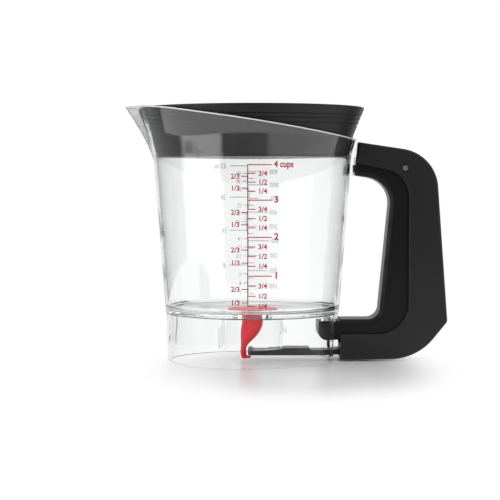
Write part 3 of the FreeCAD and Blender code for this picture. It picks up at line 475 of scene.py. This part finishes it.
class SEPARATOR_OT_cup(bpy.types.Operator):
    """The clear cup, with its spout, floor and bracket"""
    bl_idname = "separator.cup"
    bl_label = "Cup"

    def execute(self, context):
        clear = clear_plastic("clear_wall", settings().clear_index)
        cup = dress("cup", "clear_cup", "vessel", clear, CREASE)
        self.clear_side_ledges(cup)
        self.sharpen_floor_corner(cup)
        self.lower_rim(cup)
        smooth(cup, CREASE)
        self.lighten_floor(cup)
        self.bead(cup)
        return {"FINISHED"}

    def clear_side_ledges(self, cup):
        """Press the ledges away from the handle into the wall, and keep the one beside the handle."""
        low, high = LEDGE_SPAN

        def shift(place):
            """Which way and how far a point of a ledge lies from the wall's inner face."""
            for turn in LEDGE_TURNS:
                outward = Vector((math.cos(turn), math.sin(turn), 0))
                side = place.dot(Vector((-outward.y, outward.x, 0)))
                reach = place.dot(outward)
                if low < place.z < high and reach > 0 and abs(side) < LEDGE_HALF_WIDTH:
                    wall = cup.ray_cast((0, 0, place.z), (0, 1, 0))[1].y
                    return outward * max(math.sqrt(wall ** 2 - side ** 2) - reach, 0)
            return Vector((0, 0, 0))

        stands = [shift(point.co).length > LEDGE_DEPTH for point in cup.data.vertices]
        make_active(cup)
        bpy.ops.object.mode_set(mode="EDIT")
        bpy.ops.mesh.select_all(action="DESELECT")
        bpy.ops.object.mode_set(mode="OBJECT")
        for face in cup.data.polygons:
            face.select = any(stands[corner] for corner in face.vertices)
        bpy.ops.object.mode_set(mode="EDIT")
        bpy.ops.mesh.subdivide(number_cuts=LEDGE_CUTS)
        bpy.ops.object.mode_set(mode="OBJECT")
        shifts = [shift(point.co) for point in cup.data.vertices]
        for point, move in zip(cup.data.vertices, shifts):
            point.co += move
        in_edit_mode(cup, lambda: bpy.ops.mesh.remove_doubles(threshold=LEDGE_WELD),
                     lambda: bpy.ops.mesh.dissolve_degenerate(threshold=LEDGE_WELD))

    def sharpen_floor_corner(self, cup):
        """Lower the round between the floor and the wall to a small one."""
        (inner, low), (outer, high) = FLOOR_CORNER
        for point in cup.data.vertices:
            if low < point.co.z < high and inner < math.hypot(point.co.x, point.co.y) < outer:
                point.co.z = low + (point.co.z - low) * CORNER_SHARE

    def lower_rim(self, cup):
        """Cut the rim down to its swept line, which falls from the spout to the handle."""
        drop_selection()
        bpy.ops.mesh.primitive_grid_add(x_subdivisions=RIM_STEPS, y_subdivisions=1, size=1,
                                        rotation=(math.pi / 2, 0, 0))
        cutter = bpy.context.object
        cutter.scale = (CUTTER_LENGTH, 1, 1)
        stand_flat()
        for point in cutter.data.vertices:
            point.co.z = rim_height(point.co.x) if point.co.z < 0 else CUTTER_TOP
            point.co.y = -CUTTER_HALF_WIDTH
        across = {"value": (0, 2 * CUTTER_HALF_WIDTH, 0)}
        in_edit_mode(cutter,
                     lambda: bpy.ops.mesh.extrude_region_move(TRANSFORM_OT_translate=across),
                     lambda: bpy.ops.mesh.select_all(action="SELECT"),
                     lambda: bpy.ops.mesh.normals_make_consistent(inside=False))
        cut = cup.modifiers.new("rim", "BOOLEAN")
        cut.operation = "DIFFERENCE"
        cut.solver = "EXACT"
        cut.object = cutter
        make_active(cup)
        bpy.ops.object.modifier_apply(modifier="rim")
        bpy.data.objects.remove(cutter)

    def lighten_floor(self, cup):
        """Give the thick floor a lower index, so that it bends and darkens less of what is behind it."""
        cup.data.materials.append(clear_plastic("clear_floor", settings().floor_index))
        for face in cup.data.polygons:
            if face.center.z < FLOOR_ZONE and abs(face.normal.z) > FLAT_ENOUGH:
                face.material_index = 1

    def bead(self, cup):
        """The rounded edge along the rim, pale with a painted highlight for the light it pipes; it stops at
        the handle's bracket.
        """
        curve = bpy.data.curves.new("rim_bead", "CURVE")
        curve.dimensions = "3D"
        curve.bevel_depth = BEAD_RADIUS
        curve.bevel_resolution = 3
        curve.use_fill_caps = True
        route = [self.bead_point(cup, BEAD_START + 2 * (math.pi - BEAD_START) * step / BEAD_STEPS)
                 for step in range(BEAD_STEPS + 1)]
        line = curve.splines.new("POLY")
        line.points.add(len(route) - 1)
        for point, place in zip(line.points, route):
            point.co = (*place, 1)
        thing = bpy.data.objects.new("rim_bead", curve)
        bpy.context.scene.collection.objects.link(thing)
        make_active(thing)
        bpy.ops.object.convert(target="MESH")
        bead = bpy.context.object
        in_edit_mode(bead, lambda: bpy.ops.mesh.normals_make_consistent(inside=False))
        smooth(bead, ROUND_CREASE)
        # The bead's pale finish is a painted highlight.
        wear(bead, bright_edge())
        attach(bead, "vessel")

    def bead_point(self, cup, turn):
        """Where the bead's middle lies at a turn round the cup, just inside the wall's outer face."""
        facing = Vector((math.cos(turn), math.sin(turn), 0))
        level = rim_height(RIM_RADIUS * facing.x)
        for _ in range(BEAD_ROUNDS):
            start = facing * OUTSIDE + Vector((0, 0, level - BEAD_RADIUS))
            wall = cup.ray_cast(start, -facing)[1]
            level = rim_height(wall.x)
        return wall - facing * BEAD_RADIUS * BEAD_SINK


class SEPARATOR_OT_skirt(bpy.types.Operator):
    """The clear skirt under the cup's floor"""
    bl_idname = "separator.skirt"
    bl_label = "Skirt"

    def execute(self, context):
        clear = clear_plastic("clear_skirt_wall", settings().skirt_index)
        dress("drip_skirt", "clear_skirt", "vessel", clear, CREASE)
        return {"FINISHED"}


class SEPARATOR_OT_strainer(bpy.types.Operator):
    """The black strainer in the cup's mouth"""
    bl_idname = "separator.strainer"
    bl_label = "Strainer"

    def execute(self, context):
        satin = black_plastic("satin_black", settings().black_colour, 0.34, 1400.0, 0.3)
        dress("strainer", "strainer_bowl", "strainer", satin, CREASE)
        return {"FINISHED"}


FLANGE_SEAT = 30.9 * MM
FLANGE_CROWN = 0.5


class SEPARATOR_OT_stopper(bpy.types.Operator):
    """The red stopper in the floor's drain"""
    bl_idname = "separator.stopper"
    bl_label = "Stopper"

    def execute(self, context):
        red = red_silicone()
        stopper = dress("drain_stopper", "red_stopper", "stopper", red, SOFT_CREASE)
        for point in stopper.data.vertices:
            if point.co.z > FLANGE_SEAT:
                point.co.z = FLANGE_SEAT + (point.co.z - FLANGE_SEAT) * FLANGE_CROWN
        return {"FINISHED"}


class SEPARATOR_OT_handle(bpy.types.Operator):
    """The fixed grip, the squeeze lever round it and the trip arm"""
    bl_idname = "separator.handle"
    bl_label = "Handle"

    def execute(self, context):
        deep = black_plastic("grip_black", settings().grip_colour, 0.33, 1700.0, 0.26)
        satin = black_plastic("handle_black", settings().handle_colour, 0.36, 1700.0, 0.4)
        arm_black = bpy.data.materials["satin_black"]
        soften_edges(dress("grip_frame", "inner_grip", "vessel", deep, HARD_CREASE))
        soften_edges(dress("squeeze_lever", "outer_lever", "lever", satin, HARD_CREASE))
        dress("trip_arm", "flat_arm", "lever", arm_black, HARD_CREASE)
        return {"FINISHED"}


class SEPARATOR_OT_fasteners(bpy.types.Operator):
    """The pivot pin, the four screws and the return spring, which is left on no body"""
    bl_idname = "separator.fasteners"
    bl_label = "Fasteners"

    def execute(self, context):
        bright = steel("bright_steel", (0.62, 0.62, 0.63), 0.2)
        wire = steel("spring_wire", (0.5, 0.5, 0.52), 0.26)
        dress("pivot_pin", "steel_pin", "vessel", bright, HARD_CREASE)
        dress("handle_screws", "frame_screws", "vessel", bright, HARD_CREASE)
        dress("arm_screws", "foot_screws", "lever", bright, HARD_CREASE)
        spring = dress("return_spring", "coil_spring", None, wire, HARD_CREASE)
        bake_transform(spring)
        return {"FINISHED"}


# ---------------------------------------------------------------- printed scales

# A figure's height as a share of its letter size, and the width of a narrow one.
CAP_HEIGHT = 0.7
NARROW = 0.82
# The marks are made this far before the wall, and lie this far off it.
STAND_OFF = 90 * MM
INK_LIFT = 0.07 * MM
STROKE_STEP = 1.2 * MM
UPRIGHT_STEPS = 24
OUNCES_PER_CUP = 8
ML_PER_CUP = 236.588
# Where the two uprights begin, and where the ounce scale's ends, in cups.
LOWEST_MARK = 0.25
OUNCE_TOP_MARK = 4.05

# The cup scale: places across the wall, then sizes.
CUP_LINE = -2.8 * MM
CUP_TICK_END = 11.2 * MM
CUP_FIGURE = 12.5 * MM
CUP_STROKE = 0.6 * MM
CUP_FIGURE_HEIGHT = 3.7 * MM
CUP_FIGURE_LIFT = 0.5 * MM
CUP_FIGURE_SWELL = 0.17 * MM
CUP_TOP_LIFT = 0.3 * MM
QUARTER_TICK_END = 1.7 * MM
QUARTER_FIGURE = 3.2 * MM
THIRD_TICK_END = -6.6 * MM
THIRD_FIGURE = -7.4 * MM
PART_STROKE = 0.55 * MM
PART_HEIGHT = 2.9 * MM
PART_LIFT = 0.1 * MM
PART_SWELL = 0.1 * MM

# The ounce and millilitre scale, likewise.
OUNCE_LINE = 2.9 * MM
OUNCE_STROKE = 0.5 * MM
OUNCE_SWELL = 0.03 * MM
OUNCE_TOP = 32
OUNCE_STEP = 2
# Of each ounce mark: the tick's end, the figure's place and its height.
WHOLE_CUP_MARK = (15.3 * MM, 17.2 * MM, 3.3 * MM)
BETWEEN_MARK = (6.1 * MM, 7.3 * MM, 2.6 * MM)
ML_TOP = 900
ML_STEP = 50
ML_FIGURE = -11.6 * MM
ML_FIGURE_HEIGHT = 3.1 * MM


def mark_height(cups):
    """Height of a volume over the table; the rise per cup shrinks as the cup widens."""
    chosen = settings()
    return chosen.scale_zero + chosen.scale_first * cups - chosen.scale_shrink * cups * cups


def stand_flat():
    """Keeps the place and turn of the active object in its mesh."""
    bpy.ops.object.transform_apply(location=True, rotation=True, scale=True)
    return bpy.context.object


def stroke(low, high, level, width):
    """A printed line from one place along the reading direction to another."""
    drop_selection()
    steps = max(1, round((high - low) / STROKE_STEP))
    bpy.ops.mesh.primitive_grid_add(x_subdivisions=steps, y_subdivisions=1, size=1,
                                    location=((low + high) / 2, 0, level), rotation=(math.pi / 2, 0, 0))
    bpy.context.object.scale = (high - low, width, 1)
    return stand_flat()


def upright(place, low, high, width):
    """A printed line up the wall."""
    drop_selection()
    bpy.ops.mesh.primitive_grid_add(x_subdivisions=1, y_subdivisions=UPRIGHT_STEPS, size=1,
                                    location=(place, 0, (low + high) / 2), rotation=(math.pi / 2, 0, 0))
    bpy.context.object.scale = (width, high - low, 1)
    return stand_flat()


def label(text, place, level, height, align="LEFT", swell=0.0, width=1.0):
    """Figures whose middle stands at a level, begun or ended at a place."""
    drop_selection()
    bpy.ops.object.text_add()
    curve = bpy.context.object.data
    curve.body = text
    curve.size = height / CAP_HEIGHT
    curve.align_x = align
    curve.offset = swell
    curve.resolution_u = 3
    bpy.ops.object.convert(target="MESH")
    made = bpy.context.object
    made.scale = (width, 1, 1)
    made.rotation_euler = (math.pi / 2, 0, 0)
    made.location = (place, 0, level - height / 2)
    return stand_flat()


def wrap_round_cup(name, things, material, rear=False):
    """Join the marks, stand them before the wall and lay them on it."""
    drop_selection()
    for thing in things:
        thing.select_set(True)
    bpy.context.view_layer.objects.active = things[0]
    bpy.ops.object.join()
    scale = bpy.context.object
    scale.name = name
    scale.data.name = name
    scale.rotation_euler = (0, 0, math.pi if rear else 0)
    scale.location = (0, STAND_OFF if rear else -STAND_OFF, 0)
    stand_flat()
    wrap = scale.modifiers.new("wrap", "SHRINKWRAP")
    wrap.target = bpy.data.objects["clear_cup"]
    wrap.wrap_method = "PROJECT"
    wrap.wrap_mode = "ABOVE_SURFACE"
    wrap.use_project_y = True
    wrap.use_negative_direction = rear
    wrap.use_positive_direction = not rear
    wrap.offset = INK_LIFT
    make_active(scale)
    bpy.ops.object.modifier_apply(modifier="wrap")
    wear(scale, material)
    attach(scale, "vessel")


class SEPARATOR_OT_cup_scale(bpy.types.Operator):
    """The red scale in cups on the near wall"""
    bl_idname = "separator.cup_scale"
    bl_label = "Cup scale"

    def execute(self, context):
        top = mark_height(4) + CUP_TOP_LIFT
        marks = [upright(CUP_LINE, mark_height(LOWEST_MARK), top, CUP_STROKE)]
        for cups, text, width in ((1, "1", 1.0), (2, "2", 1.0), (3, "3", 1.0), (4, "4 cups", NARROW)):
            level = mark_height(cups)
            marks.append(stroke(CUP_LINE, CUP_TICK_END, level, CUP_STROKE))
            marks.append(label(text, CUP_FIGURE, level + CUP_FIGURE_LIFT, CUP_FIGURE_HEIGHT,
                               swell=CUP_FIGURE_SWELL, width=width))
        for whole in range(4):
            for part, text in ((0.25, "1/4"), (0.5, "1/2"), (0.75, "3/4")):
                level = mark_height(whole + part)
                marks.append(stroke(CUP_LINE, QUARTER_TICK_END, level, PART_STROKE))
                marks.append(label(text, QUARTER_FIGURE, level + PART_LIFT, PART_HEIGHT, swell=PART_SWELL))
            for part, text in ((1 / 3, "1/3"), (2 / 3, "2/3")):
                level = mark_height(whole + part)
                marks.append(stroke(THIRD_TICK_END, CUP_LINE, level, PART_STROKE))
                marks.append(label(text, THIRD_FIGURE, level + PART_LIFT, PART_HEIGHT, "RIGHT", PART_SWELL))
        wrap_round_cup("cup_scale", marks, ink("front_ink", settings().ink_colour))
        return {"FINISHED"}


class SEPARATOR_OT_ounce_scale(bpy.types.Operator):
    """The pale scale in ounces and millilitres on the far wall, read from behind"""
    bl_idname = "separator.ounce_scale"
    bl_label = "Ounce scale"

    def execute(self, context):
        marks = [upright(OUNCE_LINE, mark_height(LOWEST_MARK), mark_height(OUNCE_TOP_MARK), OUNCE_STROKE)]
        for ounces in range(OUNCE_STEP, OUNCE_TOP + OUNCE_STEP, OUNCE_STEP):
            level = mark_height(ounces / OUNCES_PER_CUP)
            whole_cups = ounces % OUNCES_PER_CUP == 0
            tick_end, figure, height = WHOLE_CUP_MARK if whole_cups else BETWEEN_MARK
            text = f"{ounces} oz" if ounces == OUNCE_TOP else str(ounces)
            marks.append(stroke(OUNCE_LINE, tick_end, level, OUNCE_STROKE))
            marks.append(label(text, figure, level, height, swell=OUNCE_SWELL, width=NARROW))
        for amount in range(ML_STEP, ML_TOP + ML_STEP, ML_STEP):
            level = mark_height(amount / ML_PER_CUP)
            marks.append(stroke(self.millilitre_tick(amount), OUNCE_LINE, level, OUNCE_STROKE))
            if amount % 100 == 0:
                marks.append(label(str(amount), ML_FIGURE, level, ML_FIGURE_HEIGHT, "RIGHT",
                                   swell=OUNCE_SWELL, width=NARROW))
        wrap_round_cup("ounce_scale", marks, ink("rear_ink", settings().pale_ink_colour), rear=True)
        return {"FINISHED"}

    def millilitre_tick(self, amount):
        """Where the tick of an amount ends: long at each 200, short at each 100, a dot between."""
        if amount % 200 == 0:
            return -10.4 * MM
        if amount % 100 == 0:
            return -3.2 * MM
        return -1.0 * MM


# ---------------------------------------------------------------- stage

# Brightness of what stands round the table, by azimuth from the camera, left negative.
STUDIO = ((-180, 0.95), (-152, 0.95), (-146, 0.04), (-92, 0.04), (-86, 2.2), (-40, 2.2), (-34, 0.08),
          (14, 0.08), (22, 0.8), (112, 0.8), (120, 0.04), (146, 0.04), (152, 0.95))
BOX_LEVEL = 2.4
CEILING = 0.9
CEILING_FADE = (0.45, 0.8)
FILL_LEVEL = 0.74
# What is seen through the clear walls: never dimmer than this, and this level after several walls.
DIMMEST_THROUGH = 0.34
INSIDE_LEVEL = 1.3
INSIDE_DEPTH = 2.5
TABLE_LEVEL = 0.785
TABLE_RADIUS = 2.6
TABLE_CORNERS = 96
TABLE_DROP = 0.2 * MM
# The patch of table that takes shade, and the ellipse past which reflections don't see the table.
SHADE_MIDDLE = (0.028, -0.045, 0)
SHADE_REACH = (0.098, 0.150)
SHADE_CORE = 0.45
TABLE_EDGE = 0.26
TABLE_SIDE = 0.43
# Each lamp's turn and lift in degrees, distance, size and power.
LAMPS = {
    "lamp_left": (-62, 18, 1.1, (0.95, 1.1), 3.5),
    "lamp_right": (58, 25, 1.2, (0.9, 1.0), 2.3),
    "lamp_top": (20, 80, 1.2, (1.1, 0.9), 2.9),
}
LAMP_AIM = Vector((0, 0, 0.07))
CAMERA_SIDE = -1.5 * MM
SENSOR = 36
CLIP_RANGE = (0.01, 50)


class SEPARATOR_OT_stage(bpy.types.Operator):
    """Pale table, soft lamps, white surroundings and the camera"""
    bl_idname = "separator.stage"
    bl_label = "Stage"

    def execute(self, context):
        drop_selection()
        self.floor()
        self.world()
        self.lamps()
        self.camera()
        context.scene.view_settings.view_transform = "Standard"
        return {"FINISHED"}

    def floor(self):
        """Pale table that goes white round a shaded patch; what is reflected meets its edge in front."""
        bpy.ops.mesh.primitive_circle_add(vertices=TABLE_CORNERS, radius=TABLE_RADIUS, fill_type="NGON",
                                          location=(0, 0, -TABLE_DROP))
        floor = bpy.context.object
        floor.name = "table_top"
        finish = Finish("table_white")
        patch = finish.place((1 / SHADE_REACH[0], 1 / SHADE_REACH[1], 1), SHADE_MIDDLE)
        far = finish.node("ShaderNodeVectorMath", {"operation": "LENGTH"}, out=1, _0=patch)
        away = finish.node("ShaderNodeMapRange", {"interpolation_type": "SMOOTHSTEP"}, Value=far,
                           From_Min=SHADE_CORE, From_Max=1.0)
        ellipse = finish.place((TABLE_EDGE / TABLE_SIDE, 1, 1))
        reach = finish.node("ShaderNodeVectorMath", {"operation": "LENGTH"}, out=1, _0=ellipse)
        close = 1.0 - (reach > TABLE_EDGE)
        straight = 1.0 - (finish.node("ShaderNodeLightPath", out="Glossy Depth") > 0.0)
        finish.set(Base_Color=grey(TABLE_LEVEL), Roughness=0.32)
        white = finish.node("ShaderNodeEmission", Color=grey(1.0), Strength=1.0)
        gone = finish.node("ShaderNodeBsdfTransparent", Color=grey(1.0))
        glow = finish.node("ShaderNodeMixShader", _0=straight.combine("MAXIMUM", close), _1=gone, _2=white)
        mixed = finish.node("ShaderNodeMixShader", _0=away, _1=finish.shader.outputs[0], _2=glow)
        finish.tree.links.new(mixed.socket, finish.output.inputs[0])
        floor.data.materials.append(finish.material)

    def world(self):
        """White behind the object, and a studio of boxes and flags round it for what is reflected."""
        world = bpy.data.worlds.new("studio")
        world.use_nodes = True
        bpy.context.scene.world = world
        tree = world.node_tree
        sky = Nodes(tree)
        where = sky.node("ShaderNodeTexCoord", out="Generated")
        across, ahead, up = (sky.node("ShaderNodeSeparateXYZ", out=axis, _0=where) for axis in range(3))
        turn = across.combine("ARCTAN2", 0.0 - ahead)
        boxes = [(azimuth / 360 + 0.5, grey(level / BOX_LEVEL)) for azimuth, level in STUDIO]
        ring = sky.node("ShaderNodeValToRGB", {"stops": boxes}, _0=turn / (2 * math.pi) + 0.5)

        camera_ray = sky.node("ShaderNodeLightPath", out="Is Camera Ray")
        glossy_ray = sky.node("ShaderNodeLightPath", out="Is Glossy Ray")
        through = sky.node("ShaderNodeLightPath", out="Is Transmission Ray")
        inside = sky.node("ShaderNodeLightPath", out="Transmission Depth") > INSIDE_DEPTH
        straight = 1.0 - (sky.node("ShaderNodeLightPath", out="Glossy Depth") > 0.0)

        lifted = sky.mix(through, ring, grey(DIMMEST_THROUGH / BOX_LEVEL), "LIGHTEN")
        evened = sky.mix(inside, lifted, grey(INSIDE_LEVEL / BOX_LEVEL))
        above = sky.node("ShaderNodeMapRange", Value=up, From_Min=CEILING_FADE[0], From_Max=CEILING_FADE[1])
        studio = sky.mix(above, evened, grey(CEILING / BOX_LEVEL))

        fill = tree.nodes["Background"]
        fill.inputs[0].default_value = grey(FILL_LEVEL)
        shown = sky.node("ShaderNodeBackground", Color=studio, Strength=BOX_LEVEL)
        white = sky.node("ShaderNodeBackground", Color=grey(1.0))
        reflected = glossy_ray.combine("MAXIMUM", through)
        seen = camera_ray.combine("MAXIMUM", through) * straight
        shiny = sky.node("ShaderNodeMixShader", _0=reflected, _1=fill.outputs[0], _2=shown)
        mixed = sky.node("ShaderNodeMixShader", _0=seen, _1=shiny, _2=white)
        tree.links.new(mixed.socket, tree.nodes["World Output"].inputs[0])

    def lamps(self):
        for name, (turn, lift, away, size, power) in LAMPS.items():
            around = math.radians(turn)
            over = math.radians(lift)
            spot = Vector((math.sin(around) * math.cos(over), -math.cos(around) * math.cos(over),
                           math.sin(over))) * away
            bpy.ops.object.light_add(type="AREA", location=spot + LAMP_AIM)
            lamp = bpy.context.object
            lamp.name = name
            lamp.data.shape = "RECTANGLE"
            lamp.data.size, lamp.data.size_y = size
            lamp.data.energy = power
            lamp.visible_glossy = False
            lamp.rotation_euler = (-spot).to_track_quat("-Z", "Y").to_euler()

    def camera(self):
        chosen = settings()
        drop = math.atan((chosen.camera_height - chosen.aim_height) / chosen.camera_distance)
        bpy.ops.object.camera_add(location=(CAMERA_SIDE, -chosen.camera_distance, chosen.camera_height),
                                  rotation=(math.pi / 2 - drop, 0, 0))
        camera = bpy.context.object
        camera.data.sensor_width = SENSOR
        camera.data.lens = SENSOR * chosen.camera_distance / chosen.view_width
        camera.data.clip_start, camera.data.clip_end = CLIP_RANGE
        bpy.context.scene.camera = camera


PIECES = (SEPARATOR_OT_cup, SEPARATOR_OT_skirt, SEPARATOR_OT_strainer, SEPARATOR_OT_stopper,
          SEPARATOR_OT_handle, SEPARATOR_OT_fasteners, SEPARATOR_OT_cup_scale, SEPARATOR_OT_ounce_scale,
          SEPARATOR_OT_stage)


class SEPARATOR_PT_panel(bpy.types.Panel):
    """Lists the pieces in the order they are made"""
    bl_idname = "SEPARATOR_PT_panel"
    bl_label = "Separator"
    bl_space_type = "VIEW_3D"
    bl_region_type = "UI"
    bl_category = "Separator"

    def draw(self, context):
        for piece in PIECES:
            self.layout.operator(piece.bl_idname)


CLASSES = (SeparatorSettings, *PIECES, SEPARATOR_PT_panel)


def register():
    for kind in CLASSES:
        bpy.utils.register_class(kind)
    bpy.types.Scene.separator = bpy.props.PointerProperty(type=SeparatorSettings)


def unregister():
    del bpy.types.Scene.separator
    for kind in reversed(CLASSES):
        bpy.utils.unregister_class(kind)


def main():
    register()
    for piece in PIECES:
        group, call = piece.bl_idname.split(".")
        getattr(getattr(bpy.ops, group), call)()


if __name__ == "__main__":
    main()
